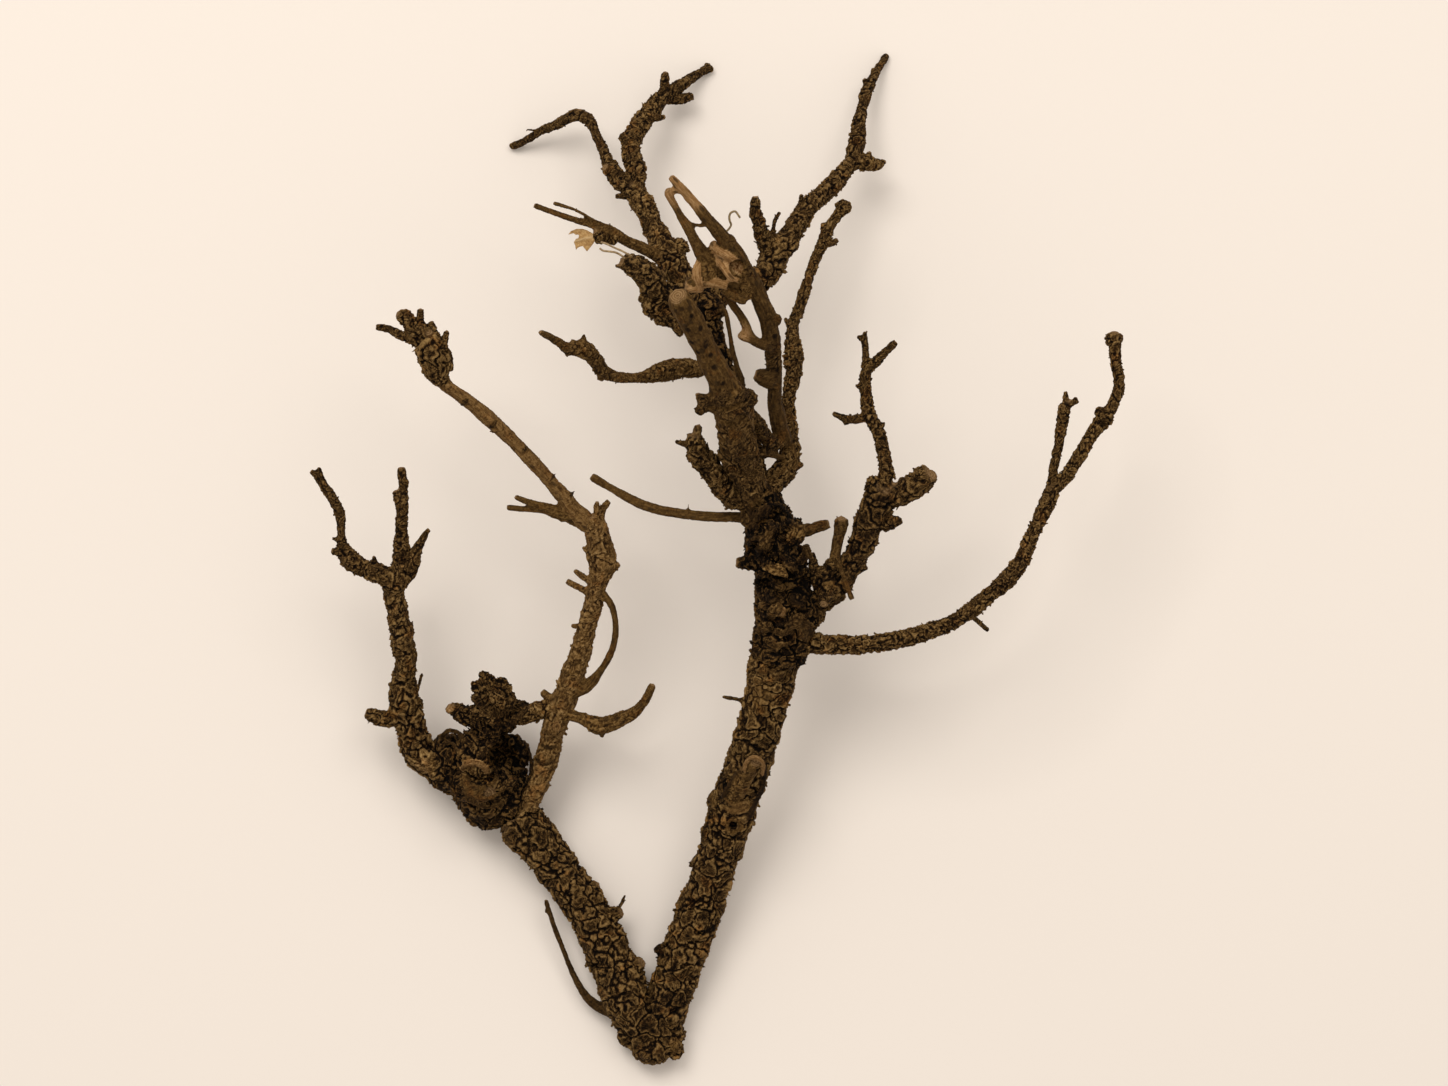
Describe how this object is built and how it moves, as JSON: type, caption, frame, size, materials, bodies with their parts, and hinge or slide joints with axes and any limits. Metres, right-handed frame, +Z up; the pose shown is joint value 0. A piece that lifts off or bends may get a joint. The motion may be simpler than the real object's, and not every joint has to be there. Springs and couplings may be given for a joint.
{
  "type": "driftwood",
  "caption": "Branching piece of gnarled driftwood that lies on a table, with a forked foot, knots, broken stubs and thin twigs.",
  "frame": {"origin": "on the table under the foot of the fork, where the two thick limbs meet", "axes": "+Y from the foot along the wood to its far tips, +X to the right as seen from above with the foot near the viewer, +Z up from the table"},
  "size_m": [0.2404, 0.3082, 0.115],
  "materials": {
    "bark": "rough weathered bark",
    "bark_dark": "rough dark bark",
    "bark_tan": "rough tan bark",
    "dry_leaf": "dry brittle leaf"
  },
  "bodies": {
    "root": {"right_limb": "bark", "left_limb": "bark", "hanging_twig": "bark", "left_knot": "bark_dark", "outer_limb": "bark", "west_twig": "bark", "middle_twig": "bark", "east_twig": "bark", "inner_limb": "bark", "bridge_arm": "bark", "loop_twig": "bark", "spur_twig": "bark", "long_branch": "bark", "double_stub": "bark_tan", "claw": "bark_tan", "heart": "bark_dark", "cluster_stub": "bark_tan", "right_upper_limb": "bark", "capped_twig": "bark_tan", "sawn_stub": "bark", "antler_twig": "bark", "right_arc": "bark", "arc_left_tine": "bark", "arc_right_tine": "bark", "left_stub": "bark", "arc_twig": "bark", "thick_stub": "bark_tan", "rear_stem": "bark", "tall_stem": "bark_tan", "twin_twig": "bark_tan", "cross_twig": "bark_tan", "twisted_strand": "bark_dark", "back_stem": "bark_dark", "thin_stem": "bark", "upper_left_limb": "bark", "upper_left_twig": "bark", "upper_middle_twig": "bark", "twig_pair": "bark_tan", "gnarl": "bark_dark", "mid_left_branch": "bark_tan", "upper_right_limb": "bark", "upper_right_side_twig": "bark", "upper_right_twig": "bark", "upper_right_wedge": "bark_tan", "dried_leaf": "dry_leaf"}
  },
  "joints": []
}
